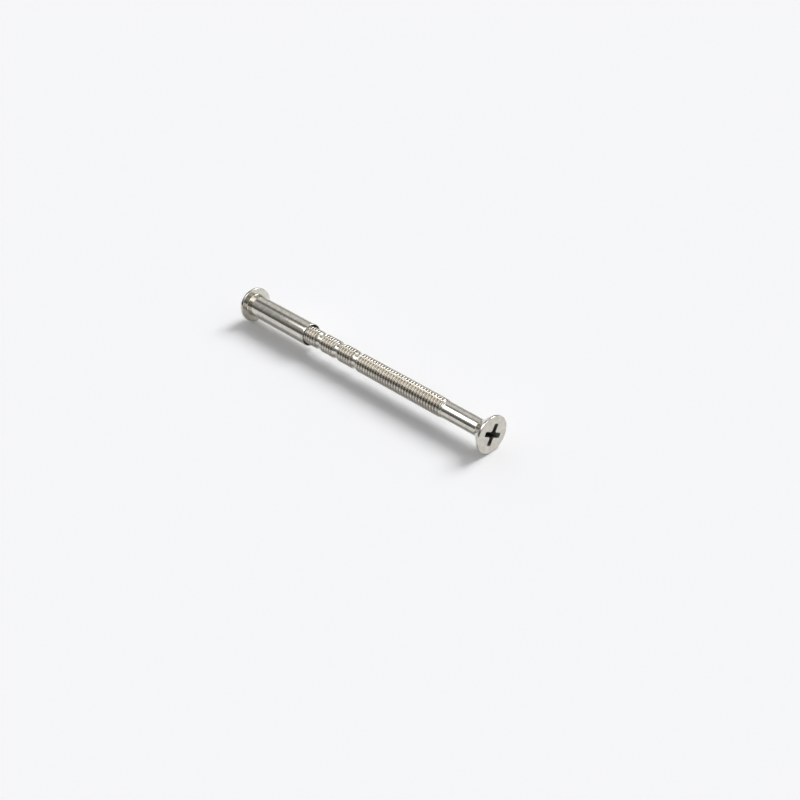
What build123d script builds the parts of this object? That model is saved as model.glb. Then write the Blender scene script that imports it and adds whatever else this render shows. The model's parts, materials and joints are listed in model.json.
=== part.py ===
"""Break-off binding screw: a countersunk machine screw turned into a headed sleeve nut.

Two steel pieces lie on one axis. Stations on that axis are in millimetres, counted from the
crown of the sleeve's head towards the flat face of the screw's head, which points to +X.
The pair lies on the floor, Z = 0, on the rims of its two heads. They are the same size, so the
axis is level, and it tilts where a change to the sizes makes one rim larger.
The threads are plain cylinders here: the screw's at its crests, the sleeve's at its grooves.
"""

import math
import os

from build123d import *

# --- The thread that joins the two pieces, a No. 8-32 ---
THREAD_DIAMETER = 4.1  # over the screw's crests
THREAD_PITCH = 25.4 / 32
THREAD_ANGLE = 60.0  # included angle of the V
THREAD_CLEARANCE = 0.05  # between the screw's crests and the sleeve's grooves, on the radius
ENGAGED_LENGTH = 7.6  # how far the screw is turned into the sleeve at rest

# --- Screw ---
SCREW_HEAD_DIAMETER = 8.1
SCREW_HEAD_ANGLE = 82.0  # included angle of the countersunk cone
SCREW_HEAD_LAND = 0.5  # straight edge between the cone and the flat face
SCREW_HEAD_BREAK = 0.15  # bevel that breaks the edge of the flat face
SHANK_DIAMETER = 3.7
THREAD_START = 12.0  # from the flat face to the first thread
UNDERHEAD_RADIUS = 0.3
FIRST_NECK = 38.75  # from the flat face to the middle of the first break-off neck
NECK_SPACING = 5.9
NECK_COUNT = 4
NECK_WIDTH = 1.8  # between the crests each side of a neck

# --- Sleeve ---
SLEEVE_LENGTH = 20.3  # from under the head to the mouth
SLEEVE_WALL = 0.475  # outside the thread's grooves
SLEEVE_HEAD_OVERHANG = 1.475  # how far the head stands out past the sleeve, on the radius
SLEEVE_RIM_THICKNESS = 0.7
SLEEVE_DOME_HEIGHT = 1.8
SLEEVE_DOME_SETBACK = 0.25  # ledge between the edge of the dome and the rim
RIM_ROUNDING = 0.15
MOUTH_ROUNDING = 0.1  # outer edge of the mouth
MOUTH_FLARE = 0.32  # how far the bore opens at the mouth, on the radius
MOUTH_FLARE_DEPTH = 0.6
DRILL_POINT_ANGLE = 118.0  # included angle of the blind end of the bore
BLIND_WALL = 1.3  # metal between the blind end and the drive recess

# --- Cross recess in both heads, a No. 2 ---
RECESS_SPAN = 4.6  # across two wings at the surface
RECESS_FLOOR_SPAN = 2.3
RECESS_WING_WIDTH = 1.0
RECESS_FLOOR_WING_WIDTH = 0.7
RECESS_CORNER_RADIUS = 0.35  # between neighbouring wings, at the surface
RECESS_FLOOR_CORNER_RADIUS = 0.2
RECESS_WING_DEPTH = 1.9
RECESS_POINT_DEPTH = 0.35  # shallow cone below the wings
SCREW_RECESS_TURN = -32.5  # how far the wings are turned from upright
SLEEVE_RECESS_TURN = 30.0

# --- Sizes that follow ---
thread_radius = THREAD_DIAMETER / 2
root_depth = 5 / 8 * THREAD_PITCH / 2 / math.tan(math.radians(THREAD_ANGLE / 2))  # of an external thread
neck_radius = thread_radius - root_depth
shank_radius = SHANK_DIAMETER / 2
screw_head_radius = SCREW_HEAD_DIAMETER / 2
screw_length = FIRST_NECK + NECK_COUNT * NECK_SPACING  # it ends where the next neck would be
cone_height = (screw_head_radius - shank_radius) / math.tan(math.radians(SCREW_HEAD_ANGLE / 2))

bore_radius = thread_radius + THREAD_CLEARANCE
sleeve_radius = bore_radius + SLEEVE_WALL
sleeve_head_radius = sleeve_radius + SLEEVE_HEAD_OVERHANG
drill_point_height = bore_radius / math.tan(math.radians(DRILL_POINT_ANGLE / 2))

# Stations on the axis
underside = SLEEVE_DOME_HEIGHT + SLEEVE_RIM_THICKNESS
mouth = underside + SLEEVE_LENGTH
blind_end = RECESS_WING_DEPTH + RECESS_POINT_DEPTH + BLIND_WALL
tip = mouth - ENGAGED_LENGTH
flat_face = tip + screw_length
head_land = flat_face - SCREW_HEAD_LAND
shank_end = head_land - cone_height
thread_end = flat_face - THREAD_START
neck_stations = [flat_face - FIRST_NECK - i * NECK_SPACING for i in range(NECK_COUNT)]

# --- The axis as the pair lies: a rim that is tilted touches the floor at its edge nearer the sleeve ---
sleeve_contact = SLEEVE_DOME_HEIGHT + RIM_ROUNDING
tilt = math.atan2(screw_head_radius - sleeve_head_radius, head_land - sleeve_contact)
along = Vector(math.cos(tilt), 0, math.sin(tilt))
half_length = (flat_face * along.X + screw_head_radius * along.Z) / 2
crown_height = sleeve_head_radius * along.X - sleeve_contact * along.Z
axis = Axis((-half_length, 0, crown_height), along)

# Profiles are drawn here: x is the station, y the radius
profile_plane = Plane(origin=axis.position, x_dir=along, z_dir=(0, -1, 0))


def facing_plane(station, turn, outward):
    """A plane square to the axis at a station, looking out of a head, its X turned from upright."""
    turned = profile_plane.y_dir.rotate(axis, turn)
    return Plane(origin=axis.position + along * station, x_dir=turned, z_dir=along * outward)


def cross_section(plane, span, wing_width, corner_radius):
    """One level of a cross recess: four wings with rounded corners between them."""
    with BuildSketch(plane) as section:
        Rectangle(span, wing_width)
        Rectangle(wing_width, span)
        inner_corners = section.vertices().sort_by_distance((0, 0))[:4]
        fillet(inner_corners, radius=corner_radius)
    return section.sketch


def cut_cross_recess(station, turn, outward):
    """Cut a tapering cross recess with a pointed floor, sunk into a head from a station."""
    surface = facing_plane(station, turn, outward)
    levels = [
        cross_section(surface, RECESS_SPAN, RECESS_WING_WIDTH, RECESS_CORNER_RADIUS),
        cross_section(
            surface.offset(-RECESS_WING_DEPTH),
            RECESS_FLOOR_SPAN,
            RECESS_FLOOR_WING_WIDTH,
            RECESS_FLOOR_CORNER_RADIUS,
        ),
    ]
    loft(levels, mode=Mode.SUBTRACT)
    floor_station = station - outward * RECESS_WING_DEPTH
    with BuildSketch(profile_plane) as floor_point:
        with BuildLine():
            Polyline(
                (floor_station, 0),
                (floor_station, RECESS_FLOOR_WING_WIDTH),
                (floor_station - outward * RECESS_POINT_DEPTH, 0),
                close=True,
            )
        make_face()
    revolve(floor_point.sketch, axis=axis, mode=Mode.SUBTRACT)


def neck_corners(middle):
    """The four corners of a break-off neck with 45 degree shoulders, from the sleeve's side."""
    crest = NECK_WIDTH / 2
    root = crest - root_depth
    return [
        (middle - crest, thread_radius),
        (middle - root, neck_radius),
        (middle + root, neck_radius),
        (middle + crest, thread_radius),
    ]


# --- Screw: turned in one piece, with necks where it can be snapped to length ---
necks = [corner for middle in reversed(neck_stations) for corner in neck_corners(middle)]
thread_step = thread_radius - shank_radius
screw_outline = [
    (tip, 0),
    (tip, neck_radius),
    (tip + root_depth, thread_radius),
    *necks,
    (thread_end - thread_step, thread_radius),
    (thread_end, shank_radius),
    (shank_end, shank_radius),
    (head_land, screw_head_radius),
    (flat_face - SCREW_HEAD_BREAK, screw_head_radius),
    (flat_face, screw_head_radius - SCREW_HEAD_BREAK),
    (flat_face, 0),
]
with BuildPart() as break_off_screw:
    with BuildSketch(profile_plane):
        with BuildLine():
            roundings = [
                UNDERHEAD_RADIUS if corner == (shank_end, shank_radius) else 0
                for corner in screw_outline
            ]
            FilletPolyline(*screw_outline, radius=roundings, close=True)
        make_face()
    revolve(axis=axis)
    cut_cross_recess(flat_face, SCREW_RECESS_TURN, 1)
break_off_screw.part.label = "break_off_screw"

# --- Sleeve nut: domed head and blind bore ---
with BuildPart() as sleeve_nut:
    with BuildSketch(profile_plane):
        with BuildLine():
            dome_edge = (SLEEVE_DOME_HEIGHT, sleeve_head_radius - SLEEVE_DOME_SETBACK)
            TangentArc((0, 0), dome_edge, tangent=(0, 1))
            FilletPolyline(
                dome_edge,
                (SLEEVE_DOME_HEIGHT, sleeve_head_radius),
                (underside, sleeve_head_radius),
                (underside, sleeve_radius),
                (mouth, sleeve_radius),
                (mouth, bore_radius + MOUTH_FLARE),
                (mouth - MOUTH_FLARE_DEPTH, bore_radius),
                (blind_end + drill_point_height, bore_radius),
                (blind_end, 0),
                radius=[RIM_ROUNDING, RIM_ROUNDING, RIM_ROUNDING, MOUTH_ROUNDING, 0, 0, 0],
            )
            Line((blind_end, 0), (0, 0))
        make_face()
    revolve(axis=axis)
    cut_cross_recess(0, SLEEVE_RECESS_TURN, -1)
sleeve_nut.part.label = "sleeve_nut"

os.makedirs("parts", exist_ok=True)
export_step(break_off_screw.part, "parts/break_off_screw.step")
export_step(sleeve_nut.part, "parts/sleeve_nut.step")
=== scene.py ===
import json
import math

import bmesh
import bpy
from mathutils import Matrix, Vector


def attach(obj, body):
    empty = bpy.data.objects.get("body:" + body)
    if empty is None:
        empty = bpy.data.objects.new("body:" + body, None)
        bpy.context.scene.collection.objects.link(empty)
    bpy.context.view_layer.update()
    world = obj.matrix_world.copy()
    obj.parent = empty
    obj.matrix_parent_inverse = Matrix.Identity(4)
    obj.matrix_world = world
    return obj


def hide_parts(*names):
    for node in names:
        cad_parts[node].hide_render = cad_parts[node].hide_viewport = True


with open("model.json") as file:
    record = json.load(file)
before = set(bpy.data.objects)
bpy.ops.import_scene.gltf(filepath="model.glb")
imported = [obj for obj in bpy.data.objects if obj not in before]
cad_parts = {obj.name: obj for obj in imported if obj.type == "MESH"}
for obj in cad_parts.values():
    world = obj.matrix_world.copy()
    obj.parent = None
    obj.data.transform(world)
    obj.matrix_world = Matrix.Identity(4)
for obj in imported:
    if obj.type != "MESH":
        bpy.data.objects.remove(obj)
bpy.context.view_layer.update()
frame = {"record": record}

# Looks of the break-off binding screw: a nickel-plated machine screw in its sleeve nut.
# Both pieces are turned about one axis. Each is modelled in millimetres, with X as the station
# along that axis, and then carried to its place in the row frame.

mounts = {mount["name"]: mount for mount in frame["record"]["mounts"]}

MM = 0.001
SEGMENTS = 84  # round the axis
SHARP_ANGLE = math.radians(38)  # an edge that bends more than this stays sharp

# Tolerances of the meshes, in millimetres
WELD = 1e-5
SLIVER = 1e-6
ON_PLANE = 1e-5  # a point this near a plane lies on it
ON_FACE = 1e-4  # the same for a face's middle, and for the rim of a round cap

# --- The axis and the radii, from the frame ---
crown = Vector(mounts["sleeve_drive"]["pos_m"])  # station 0
along = Vector(mounts["screw_drive"]["axis"]).normalized()
THREAD_RADIUS = mounts["screw_thread"]["dims"]["r_mm"]
SLEEVE_RADIUS = mounts["sleeve_outside"]["dims"]["r_mm"]


def station_of(name):
    """The station of a mount's point, in millimetres from the sleeve's crown."""
    return (Vector(mounts[name]["pos_m"]) - crown).dot(along) / MM


def axis_matrix():
    """Carries millimetres along and round the axis into the row frame."""
    across = Vector((0, 1, 0))
    up = along.cross(across)
    turned = Matrix((along, across, up)).transposed().to_4x4()
    return Matrix.Translation(crown) @ turned @ Matrix.Scale(MM, 4)


FLAT_FACE = station_of("screw_drive")
UNDERSIDE = station_of("sleeve_head_underside")

# --- Screw, in millimetres from the flat face or on the radius ---
PITCH = 25.4 / 32
THREAD_DEPTH = 0.43
ROOT_RADIUS = THREAD_RADIUS - THREAD_DEPTH
SHANK_RADIUS = 1.85
HEAD_RADIUS = 4.05
HEAD_ANGLE = math.radians(82)
HEAD_LAND = 0.5
HEAD_BREAK = 0.15
CONE_RINGS = (0.2, 0.4, 0.6, 0.8, 0.97)  # shares of the cone's height
LAND_RING = 0.04  # from the cone's edge, so that the edge stays crisp
UNDERHEAD_RADIUS = 0.3
SHANK_SPANS = 8  # rows of faces along the shank
THREAD_START = 12.0
RUN_OUT = 1.5  # length over which the thread fades into the shank
FIRST_NECK = 38.75
NECK_SPACING = 5.9
NECK_COUNT = 4
NECK_WIDTH = 1.8
CREST_STATION = 40.74  # a crest passes here, on the line that faces CREST_TURN
CREST_TURN = math.radians(24.5)
# One turn of the thread: shares of the pitch from the crest, and of the depth from the crest
THREAD_PROFILE = [
    (-0.34, 0.87),
    (-0.27, 0.66),
    (-0.19, 0.38),
    (-0.13, 0.18),
    (-0.08, 0.07),
    (-0.03, 0.01),
    (0.03, 0.01),
    (0.08, 0.07),
    (0.13, 0.18),
    (0.19, 0.38),
    (0.27, 0.66),
    (0.34, 0.87),
    (0.42, 0.98),
    (0.50, 1.0),
    (0.58, 0.98),
]

# --- Sleeve, in millimetres from the crown or on the radius ---
SLEEVE_LENGTH = 20.3
SLEEVE_SPANS = 12  # rows of faces along the sleeve
SLEEVE_END_SPAN = 0.5  # the row at each end is this long
SLEEVE_HEAD_RADIUS = 4.05
DOME_HEIGHT = 1.8
DOME_SETBACK = 0.25
EDGE_RADIUS = 0.15
THREAD_CLEARANCE = 0.05  # between the two threads, on the radius
GROOVE_RADIUS = THREAD_RADIUS + THREAD_CLEARANCE
INNER_CREST_RADIUS = 1.7
MOUTH_FLARE = 0.32
MOUTH_FLARE_DEPTH = 0.6
MOUTH_ROUNDING = 0.1
BLIND_END = 3.55
BORE_FULL_FROM = 4.81
INNER_THREAD_START = BORE_FULL_FROM + 0.75

# --- Cross recess of both heads ---
RECESS_SPAN = 4.6
RECESS_FLOOR_SPAN = 2.3
RECESS_WING = 1.0
RECESS_FLOOR_WING = 0.7
RECESS_CORNER = 0.35  # radius between two wings
RECESS_FLOOR_CORNER = 0.2
RECESS_WING_ROUNDING = 0.3  # of a wing's end, as a share of its width
RECESS_EASING = 0.06  # how far the stamped edge is eased
RECESS_DEPTH = 1.9
RECESS_POINT = 0.35
CORNER_STEPS = 4
SCREW_RECESS_TURN = math.radians(-32.5)
SLEEVE_RECESS_TURN = math.radians(30)

mouth = UNDERSIDE + SLEEVE_LENGTH
tip = FLAT_FACE - FIRST_NECK - NECK_COUNT * NECK_SPACING
thread_end = FLAT_FACE - THREAD_START
head_land = FLAT_FACE - HEAD_LAND
shank_end = head_land - (HEAD_RADIUS - SHANK_RADIUS) / math.tan(HEAD_ANGLE / 2)
necks = [FLAT_FACE - FIRST_NECK - i * NECK_SPACING for i in range(NECK_COUNT)]


# --- Mesh helpers ---
def ring_point(station, radius, turn):
    """A point on a ring. Turn 0 is up, and grows by the right-hand rule about the axis."""
    return (station, -radius * math.sin(turn), radius * math.cos(turn))


def lathe(profile):
    """Vertices and faces of a profile of (station, radius) points turned about the axis."""
    vertices, faces, rings = [], [], []
    for station, radius in profile:
        if radius == 0:
            rings.append([len(vertices)] * SEGMENTS)
            vertices.append((station, 0, 0))
        else:
            rings.append(range(len(vertices), len(vertices) + SEGMENTS))
            vertices += [ring_point(station, radius, 2 * math.pi * i / SEGMENTS) for i in range(SEGMENTS)]
    for a, b in zip(rings, rings[1:]):
        for i in range(SEGMENTS):
            j = (i + 1) % SEGMENTS
            corners = [a[i], a[j], b[j], b[i]]
            faces.append([c for k, c in enumerate(corners) if c != corners[k - 1]])
    return vertices, faces


def helix(start, end, radius_at):
    """Vertices and faces of a right-hand thread between two stations.

    radius_at gives the radius at a station for a depth from the crest, as a share of the thread's.
    """
    anchor = CREST_STATION - PITCH * CREST_TURN / (2 * math.pi)  # a crest's station at turn 0
    first = math.floor((start - anchor) / PITCH) - 1
    turns = math.ceil((end - start) / PITCH) + 3
    vertices, faces = [], []
    columns = turns * SEGMENTS
    for i in range(columns + 1):
        turn = 2 * math.pi * i / SEGMENTS
        crest = anchor + (first + i / SEGMENTS) * PITCH
        for share, depth in THREAD_PROFILE:
            station = min(max(crest + share * PITCH, start), end)
            vertices.append(ring_point(station, radius_at(station, depth), turn))
    count = len(THREAD_PROFILE)

    def index(i, j):
        """The same point belongs to the end of one turn's profile and the start of the next."""
        return (i + SEGMENTS) * count if j == count else i * count + j

    for i in range(columns):
        for j in range(count):
            if j + 1 == count and i + 1 + SEGMENTS > columns:
                continue
            faces.append([index(i, j), index(i + 1, j), index(i + 1, j + 1), index(i, j + 1)])
    return vertices, faces


def arc(centre, radius, start, end, steps):
    """Points of an arc in a profile. Angles are in degrees from the station axis."""
    angles = [math.radians(start + (end - start) * k / steps) for k in range(steps + 1)]
    return [(centre[0] + radius * math.cos(a), centre[1] + radius * math.sin(a)) for a in angles]


def new_object(name, vertices, faces):
    mesh = bpy.data.meshes.new(name)
    mesh.from_pydata(vertices, [], faces)
    mesh.validate()
    made = bpy.data.objects.new(name, mesh)
    bpy.context.scene.collection.objects.link(made)
    return made


def cross_outline(span, wing, corner):
    """The outline of a cross: four wings with rounded ends and rounded corners between them."""
    half, side = span / 2, wing / 2
    end = RECESS_WING_ROUNDING * wing
    bends = [math.pi / 2 * k / CORNER_STEPS for k in range(CORNER_STEPS + 1)]
    inner = side + corner  # centre of the corner between two wings
    quarter = [
        *[(half - end + end * math.cos(a), side - end + end * math.sin(a)) for a in bends],
        *[(inner - corner * math.sin(a), inner - corner * math.cos(a)) for a in bends],
        *[(side - end + end * math.cos(a), half - end + end * math.sin(a)) for a in bends],
    ]
    outline = []
    for k in range(4):
        c, s = round(math.cos(k * math.pi / 2)), round(math.sin(k * math.pi / 2))
        outline += [(x * c - y * s, x * s + y * c) for x, y in quarter]
    return outline


def recess_cutter(name, surface, inward, turn, levels):
    """A tapering cross with a pointed floor. Levels are (depth, span, wing width, corner radius)."""
    vertices, faces = [], []
    for depth, span, wing, corner in levels:
        outline = cross_outline(span, wing, corner)
        for x, y in outline:
            radius, angle = math.hypot(x, y), math.atan2(y, x)
            vertices.append(ring_point(surface + inward * depth, radius, angle + turn))
    count = len(vertices) // len(levels)
    for level in range(len(levels) - 1):
        for i in range(count):
            j = (i + 1) % count
            a, b = level * count, (level + 1) * count
            faces.append([a + i, a + j, b + j, b + i])
    faces.append(list(range(count))[::-1])
    point = len(vertices)
    vertices.append((surface + inward * (RECESS_DEPTH + RECESS_POINT), 0, 0))
    last = (len(levels) - 1) * count
    faces += [[last + i, last + (i + 1) % count, point] for i in range(count)]
    cutter = new_object(name, vertices, faces)
    outward_normals(cutter)
    return cutter


def outward_normals(piece):
    work = bmesh.new()
    work.from_mesh(piece.data)
    bmesh.ops.remove_doubles(work, verts=work.verts, dist=WELD)
    bmesh.ops.dissolve_degenerate(work, edges=work.edges, dist=SLIVER)
    bmesh.ops.recalc_face_normals(work, faces=work.faces)
    work.to_mesh(piece.data)
    work.free()


def cut(piece, cutter):
    """Cuts one closed mesh out of another, for good."""
    modifier = piece.modifiers.new("cut", "BOOLEAN")
    modifier.operation = "DIFFERENCE"
    modifier.solver = "EXACT"
    modifier.object = cutter
    modifier.material_mode = "TRANSFER"
    bpy.context.view_layer.update()
    done = bpy.data.meshes.new_from_object(piece.evaluated_get(bpy.context.evaluated_depsgraph_get()))
    piece.modifiers.clear()
    piece.data = done
    bpy.data.objects.remove(cutter)


def recess_levels(lip):
    """Levels of a cross recess, from above the surface to the floor, with an eased edge."""
    def level(depth):
        share = depth / RECESS_DEPTH
        span = RECESS_SPAN + (RECESS_FLOOR_SPAN - RECESS_SPAN) * share
        wing = RECESS_WING + (RECESS_FLOOR_WING - RECESS_WING) * share
        return span, wing, RECESS_CORNER + (RECESS_FLOOR_CORNER - RECESS_CORNER) * share

    eased = RECESS_EASING
    span, wing, corner = level(0)
    return [
        (-lip, span + 2 * eased + lip, wing + 2 * eased + lip, corner),
        (0, span + 2 * eased, wing + 2 * eased, corner),
        (eased * 0.4, span + eased * 0.7, wing + eased * 0.7, corner),
        (eased, *level(eased)),
        (RECESS_DEPTH, *level(RECESS_DEPTH)),
    ]


# --- Materials ---
def nickel(name, valley_stain_and_shade=False, dark=1.0, roughness=0.14):
    """Bright nickel plate on turned steel, with faint streaks along the axis and uneven tone. A dark
    below 1 scales the plate's colour down as painted shade. The valley option paints the thread valleys
    brown where the plate is thin, and much darker as painted shade in the grooves.
    """
    material = bpy.data.materials.new(name)
    material.use_nodes = True
    nodes, links = material.node_tree.nodes, material.node_tree.links
    shader = nodes["Principled BSDF"]
    shader.inputs["Metallic"].default_value = 1.0
    place = nodes.new("ShaderNodeTexCoord")

    stretch = nodes.new("ShaderNodeMapping")
    stretch.inputs["Scale"].default_value = (0.12 / MM, 1.6 / MM, 1.6 / MM)
    links.new(place.outputs["Object"], stretch.inputs["Vector"])
    streaks = nodes.new("ShaderNodeTexNoise")
    streaks.inputs["Scale"].default_value = 3.0
    streaks.inputs["Detail"].default_value = 5.0
    links.new(stretch.outputs["Vector"], streaks.inputs["Vector"])

    patches = nodes.new("ShaderNodeTexNoise")
    patches.inputs["Scale"].default_value = 0.9 / MM
    patches.inputs["Detail"].default_value = 3.0
    links.new(place.outputs["Object"], patches.inputs["Vector"])

    tone = nodes.new("ShaderNodeValToRGB")
    tone.color_ramp.elements[0].position = 0.35
    tone.color_ramp.elements[0].color = (0.58 * dark, 0.55 * dark, 0.49 * dark, 1)
    tone.color_ramp.elements[1].position = 0.65
    tone.color_ramp.elements[1].color = (0.68 * dark, 0.66 * dark, 0.60 * dark, 1)
    links.new(patches.outputs["Fac"], tone.inputs["Fac"])
    colour = tone.outputs["Color"]

    # Thread valleys: brown where the plate is thin, and much darker as painted shade in the grooves.
    if valley_stain_and_shade:
        valley = nodes.new("ShaderNodeAttribute")
        valley.attribute_name = "valley"
        stain_and_shade = nodes.new("ShaderNodeMix")
        stain_and_shade.data_type = "RGBA"
        links.new(valley.outputs["Fac"], stain_and_shade.inputs["Factor"])
        links.new(colour, stain_and_shade.inputs["A"])
        stain_and_shade.inputs["B"].default_value = (0.22, 0.18, 0.14, 1)
        colour = stain_and_shade.outputs["Result"]
    links.new(colour, shader.inputs["Base Color"])

    worn = nodes.new("ShaderNodeMapRange")
    worn.inputs["To Min"].default_value = roughness * 0.75
    worn.inputs["To Max"].default_value = roughness * 1.35
    links.new(streaks.outputs["Fac"], worn.inputs["Value"])
    links.new(worn.outputs["Result"], shader.inputs["Roughness"])

    bump = nodes.new("ShaderNodeBump")
    bump.inputs["Strength"].default_value = 0.08
    bump.inputs["Distance"].default_value = 0.01 * MM
    links.new(streaks.outputs["Fac"], bump.inputs["Height"])
    links.new(bump.outputs["Normal"], shader.inputs["Normal"])
    return material


plate = nickel("nickel_plate")
thread_plate = nickel("nickel_thread", valley_stain_and_shade=True, roughness=0.18)
face_plate = nickel("nickel_stamped", roughness=0.38)
# Nickel darkened to a sixth as painted shade, for the cross recesses, the sleeve's inner thread and its
# mouth face.
painted_shade_plate = nickel("nickel_recess", dark=0.16, roughness=0.45)
HEAD_MATERIALS = [plate, face_plate, painted_shade_plate]


def give(piece, *materials):
    for material in materials:
        piece.data.materials.append(material)


# --- Screw ---
def neck_radius_at(station):
    """The largest radius that the necks and the tip's chamfer leave at a station."""
    least = ROOT_RADIUS + max(station - tip, 0)
    for middle in necks:
        shoulder = abs(station - middle) - (NECK_WIDTH / 2 - (THREAD_RADIUS - ROOT_RADIUS))
        least = min(least, ROOT_RADIUS + max(shoulder, 0))
    return least


def screw_radius_at(station, depth):
    """The thread's radius, cut by necks and tip, and faded into the shank."""
    thread = THREAD_RADIUS - depth * (THREAD_RADIUS - ROOT_RADIUS)
    fade = min(max((thread_end - station) / RUN_OUT, 0), 1)
    thread = SHANK_RADIUS + (thread - SHANK_RADIUS) * fade
    return min(thread, neck_radius_at(station))


def valley_share(station, radius):
    """How far a point lies below the outline that the necks and the thread's crests share."""
    outline = screw_radius_at(station, 0)
    return min(max((outline - radius) / (THREAD_RADIUS - ROOT_RADIUS), 0), 1) ** 2


def make_screw():
    threads = new_object("screw_threads", *helix(tip, thread_end, screw_radius_at))
    give(threads, thread_plate)

    lean = HEAD_ANGLE / 2
    bend = UNDERHEAD_RADIUS * math.tan(lean / 2)
    bend_centre = (shank_end - bend, SHANK_RADIUS + UNDERHEAD_RADIUS)
    shank = [
        (thread_end + (shank_end - bend - thread_end) * k / SHANK_SPANS, SHANK_RADIUS)
        for k in range(SHANK_SPANS)
    ]
    cone = [
        (shank_end + t * (head_land - shank_end), SHANK_RADIUS + t * (HEAD_RADIUS - SHANK_RADIUS))
        for t in CONE_RINGS
    ]
    profile = [
        (thread_end, 0),
        *shank,
        *arc(bend_centre, UNDERHEAD_RADIUS, 270, 270 + math.degrees(lean), 6),
        *cone,
        (head_land + LAND_RING, HEAD_RADIUS),
        *arc((FLAT_FACE - HEAD_BREAK, HEAD_RADIUS - HEAD_BREAK), HEAD_BREAK, 90, 0, 6),
        (FLAT_FACE, 0),
    ]
    head = new_object("screw_head", *lathe(profile))
    outward_normals(head)
    give(head, *HEAD_MATERIALS)
    cutter = recess_cutter("screw_recess", FLAT_FACE, -1, SCREW_RECESS_TURN, recess_levels(0.3))
    # The recess walls get the nickel darkened as painted shade.
    give(cutter, painted_shade_plate)
    cut(head, cutter)
    for polygon in head.data.polygons:
        if polygon.center.x > FLAT_FACE - ON_FACE:
            polygon.material_index = HEAD_MATERIALS.index(face_plate)
    drop_cap(head, thread_end, SHANK_RADIUS)

    tip_cap = new_object("screw_tip", *lathe([(tip, 0), (tip, ROOT_RADIUS)]))
    give(tip_cap, thread_plate)
    whole = join("screw", threads, head, tip_cap)
    # The valley attribute drives the painted shade, with the thin-plate brown, in the thread's grooves.
    valley = whole.data.attributes.new("valley", "FLOAT", "POINT")
    back = axis_matrix().inverted()
    for vertex, value in zip(whole.data.vertices, valley.data):
        station, y, z = back @ vertex.co
        if station < thread_end:
            value.value = valley_share(station, math.hypot(y, z))
    return whole


def drop_cap(piece, station, radius):
    """Takes away the flat cap, out to a radius, that only closed a mesh for cutting."""
    work = bmesh.new()
    work.from_mesh(piece.data)

    def on_cap(point):
        return abs(point.x - station) < ON_PLANE and math.hypot(point.y, point.z) < radius + ON_FACE

    cap = [face for face in work.faces if all(on_cap(vertex.co) for vertex in face.verts)]
    bmesh.ops.delete(work, geom=cap, context="FACES")
    work.to_mesh(piece.data)
    work.free()


def join(name, *pieces):
    """Joins pieces into the first, welds them, smooths all but sharp edges, and puts them in place."""
    with bpy.context.temp_override(
        active_object=pieces[0], selected_editable_objects=list(pieces), object=pieces[0]
    ):
        bpy.ops.object.join()
    whole = pieces[0]
    whole.name = whole.data.name = name
    outward_normals(whole)
    whole.data.shade_smooth()
    whole.data.set_sharp_from_angle(angle=SHARP_ANGLE)
    whole.data.transform(axis_matrix())
    return whole


# --- Sleeve ---
def inner_radius_at(station, depth):
    """The inner thread's radius, cut by the countersink at the mouth and the drilled end."""
    screw = THREAD_RADIUS - depth * (THREAD_RADIUS - ROOT_RADIUS)
    thread = max(screw + THREAD_CLEARANCE, INNER_CREST_RADIUS)
    flare = GROOVE_RADIUS + MOUTH_FLARE * (1 - (mouth - station) / MOUTH_FLARE_DEPTH)
    return max(thread, flare)


def make_sleeve():
    threads = new_object("sleeve_threads", *helix(INNER_THREAD_START, mouth, inner_radius_at))
    # The inner thread gets the nickel darkened as painted shade.
    give(threads, painted_shade_plate)
    dome_edge = SLEEVE_HEAD_RADIUS - DOME_SETBACK
    dome_radius = (DOME_HEIGHT**2 + dome_edge**2) / (2 * DOME_HEIGHT)
    dome_reach = math.degrees(math.asin(dome_edge / dome_radius))
    lip = GROOVE_RADIUS + MOUTH_FLARE
    even_length = SLEEVE_LENGTH - 2 * SLEEVE_END_SPAN
    side = [
        (UNDERSIDE + SLEEVE_END_SPAN + even_length * k / SLEEVE_SPANS, SLEEVE_RADIUS)
        for k in range(SLEEVE_SPANS + 1)
    ]
    profile = [
        (0, 0),
        *arc((dome_radius, 0), dome_radius, 180, 180 - dome_reach, 24)[1:],
        *arc((DOME_HEIGHT + EDGE_RADIUS, SLEEVE_HEAD_RADIUS - EDGE_RADIUS), EDGE_RADIUS, 180, 90, 5),
        *arc((UNDERSIDE - EDGE_RADIUS, SLEEVE_HEAD_RADIUS - EDGE_RADIUS), EDGE_RADIUS, 90, 0, 5),
        *arc((UNDERSIDE + EDGE_RADIUS, SLEEVE_RADIUS + EDGE_RADIUS), EDGE_RADIUS, 180, 270, 5),
        *side,
        *arc((mouth - MOUTH_ROUNDING, SLEEVE_RADIUS - MOUTH_ROUNDING), MOUTH_ROUNDING, 90, 0, 5),
        (mouth, lip),
        (mouth, 0),
    ]
    shell = new_object("sleeve_shell", *lathe(profile))
    outward_normals(shell)
    give(shell, *HEAD_MATERIALS)
    cutter = recess_cutter("sleeve_recess", 0, 1, SLEEVE_RECESS_TURN, recess_levels(0.5))
    # The recess walls get the nickel darkened as painted shade.
    give(cutter, painted_shade_plate)
    cut(shell, cutter)
    drop_cap(shell, mouth, lip)
    # The mouth's flat ring is darkened as painted shade.
    for polygon in shell.data.polygons:
        if polygon.center.x > mouth - ON_FACE:
            polygon.material_index = HEAD_MATERIALS.index(painted_shade_plate)

    drilled = [
        (BLIND_END, 0),
        (BORE_FULL_FROM, GROOVE_RADIUS),
        (INNER_THREAD_START, GROOVE_RADIUS),
        (INNER_THREAD_START, INNER_CREST_RADIUS),
    ]
    bore = new_object("sleeve_bore", *lathe(drilled))
    give(bore, plate)
    return join("sleeve", shell, threads, bore)


screw = make_screw()
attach(screw, "screw")
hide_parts("break_off_screw")

sleeve = make_sleeve()
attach(sleeve, "sleeve")
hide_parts("sleeve_nut")

# --- Floor, light and camera, in metres ---
FLOOR_SIZE = 3.0


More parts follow.
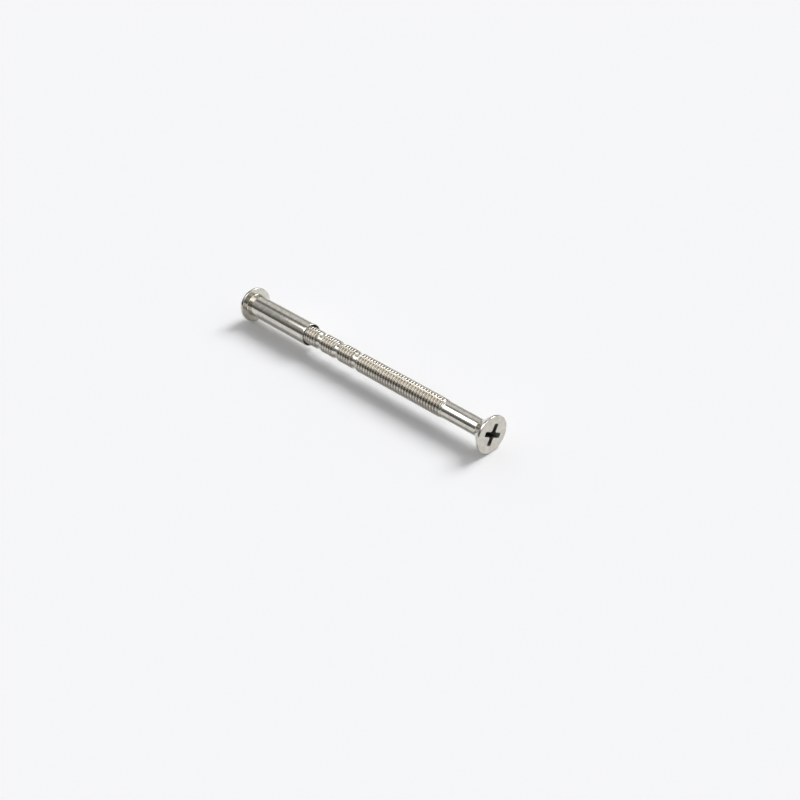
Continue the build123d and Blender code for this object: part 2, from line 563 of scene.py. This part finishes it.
def make_floor():
    half = FLOOR_SIZE / 2
    corners = [(-half, -half, 0), (half, -half, 0), (half, half, 0), (-half, half, 0)]
    floor = new_object("floor", corners, [[0, 1, 2, 3]])
    material = bpy.data.materials.new("pale_floor")
    material.use_nodes = True
    nodes, links = material.node_tree.nodes, material.node_tree.links
    nodes.clear()
    seen = nodes.new("ShaderNodeLightPath")
    either = nodes.new("ShaderNodeMath")
    either.operation = "MAXIMUM"
    links.new(seen.outputs["Is Camera Ray"], either.inputs[0])
    links.new(seen.outputs["Is Glossy Ray"], either.inputs[1])
    colour = nodes.new("ShaderNodeMix")
    colour.data_type = "RGBA"
    colour.inputs["A"].default_value = (0.8, 0.8, 0.8, 1)
    colour.inputs["B"].default_value = (0.98, 0.985, 1, 1)
    links.new(either.outputs["Value"], colour.inputs["Factor"])
    diffuse = nodes.new("ShaderNodeBsdfDiffuse")
    links.new(colour.outputs["Result"], diffuse.inputs["Color"])
    out = nodes.new("ShaderNodeOutputMaterial")
    links.new(diffuse.outputs["BSDF"], out.inputs["Surface"])
    floor.data.materials.append(material)


# The room round the object, as angles from overhead about the X axis. The backdrop stands on
# the +Y side, and the side towards -Y is left dark, so that metal shows light and dark bands.
ROOM = [
    (-180, 0.9),
    (-95, 0.3),
    (-72, 0.45),
    (-44, 0.8),
    (-20, 0.75),
    (-10, 0.2),
    (4, 0.2),
    (14, 0.5),
    (52, 0.4),
    (70, 0.13),
    (84, 0.1),
    (108, 0.12),
    (114, 0.6),
    (180, 0.9),
]


def make_world():
    world = bpy.data.worlds.new("studio")
    bpy.context.scene.world = world
    world.use_nodes = True
    nodes, links = world.node_tree.nodes, world.node_tree.links
    nodes.clear()
    place = nodes.new("ShaderNodeTexCoord")
    axes = nodes.new("ShaderNodeSeparateXYZ")
    links.new(place.outputs["Generated"], axes.inputs["Vector"])
    front = nodes.new("ShaderNodeMath")
    front.operation = "MULTIPLY"
    front.inputs[1].default_value = -1
    links.new(axes.outputs["Y"], front.inputs[0])
    angle = nodes.new("ShaderNodeMath")
    angle.operation = "ARCTAN2"
    links.new(front.outputs["Value"], angle.inputs[0])
    links.new(axes.outputs["Z"], angle.inputs[1])
    share = nodes.new("ShaderNodeMapRange")
    share.inputs["From Min"].default_value = -math.pi
    share.inputs["From Max"].default_value = math.pi
    links.new(angle.outputs["Value"], share.inputs["Value"])
    ramp = nodes.new("ShaderNodeValToRGB")
    stops = ramp.color_ramp.elements
    while len(stops) < len(ROOM):
        stops.new(0.5)
    for stop, (degrees, level) in zip(stops, ROOM):
        stop.position = (degrees + 180) / 360
        stop.color = (level, level, level, 1)
    links.new(share.outputs["Result"], ramp.inputs["Fac"])
    room = nodes.new("ShaderNodeBackground")
    links.new(ramp.outputs["Color"], room.inputs["Color"])
    white = nodes.new("ShaderNodeBackground")
    white.inputs["Color"].default_value = (1, 1, 1, 1)
    seen = nodes.new("ShaderNodeLightPath")
    mix = nodes.new("ShaderNodeMixShader")
    links.new(seen.outputs["Is Camera Ray"], mix.inputs["Fac"])
    links.new(room.outputs["Background"], mix.inputs[1])
    links.new(white.outputs["Background"], mix.inputs[2])
    out = nodes.new("ShaderNodeOutputWorld")
    links.new(mix.outputs["Shader"], out.inputs["Surface"])


SOFTBOX_HEIGHT = 0.104


def softbox(name, x, y, size, radiance, shape):
    """A lamp that faces down and shows only in metal. Radiance 1 is the level of a white wall."""
    light = bpy.data.lights.new(name, "AREA")
    light.shape = shape
    light.size, light.size_y = size
    area = size[0] * size[1] * (math.pi / 4 if shape == "ELLIPSE" else 1)
    light.energy = radiance * math.pi * area
    lamp = bpy.data.objects.new(name, light)
    bpy.context.scene.collection.objects.link(lamp)
    lamp.location = (x, y, SOFTBOX_HEIGHT)
    lamp.rotation_mode = "QUATERNION"
    lamp.rotation_quaternion = Vector((0, 0, SOFTBOX_HEIGHT)).to_track_quat("Z", "Y")
    lamp.visible_diffuse = False


def key_light(name, direction, softness, strength):
    """A far lamp whose disc spans an angle in degrees, for the object's soft shadow."""
    light = bpy.data.lights.new(name, "SUN")
    light.angle = math.radians(softness)
    light.energy = strength
    lamp = bpy.data.objects.new(name, light)
    bpy.context.scene.collection.objects.link(lamp)
    lamp.rotation_mode = "QUATERNION"
    lamp.rotation_quaternion = Vector(direction).to_track_quat("Z", "Y")


CAMERA_LENS = 48.8
CAMERA_AZIMUTH = math.radians(49.6)
CAMERA_ELEVATION = math.radians(35.7)
CAMERA_ROLL = math.radians(5.0)
CAMERA_DISTANCE = 219 * MM
CAMERA_TARGET = Vector((16.99, -3.88, 4.05)) * MM
CAMERA_NEAR = 0.01
CAMERA_FAR = 20


def make_camera():
    camera = bpy.data.objects.new("camera", bpy.data.cameras.new("camera"))
    bpy.context.scene.collection.objects.link(camera)
    bpy.context.scene.camera = camera
    camera.data.lens = CAMERA_LENS
    level = math.cos(CAMERA_ELEVATION)
    back = Vector(
        (math.sin(CAMERA_AZIMUTH) * level, -math.cos(CAMERA_AZIMUTH) * level, math.sin(CAMERA_ELEVATION))
    )
    camera.location = CAMERA_TARGET + back * CAMERA_DISTANCE
    camera.rotation_mode = "QUATERNION"
    roll = Matrix.Rotation(-CAMERA_ROLL, 4, "Z").to_quaternion()
    camera.rotation_quaternion = (-back).to_track_quat("-Z", "Y") @ roll
    camera.data.clip_start = CAMERA_NEAR
    camera.data.clip_end = CAMERA_FAR


make_floor()
make_world()
softbox("overhead", -0.068, -0.060, (0.12, 0.10), 2.4, "ELLIPSE")
softbox("above", 0.024, -0.022, (0.1, 0.086), 2.0, "RECTANGLE")
key_light("behind", (0.12, 0.70, 0.70), 30, 2.1)
make_camera()

bpy.context.scene.view_settings.view_transform = "Standard"
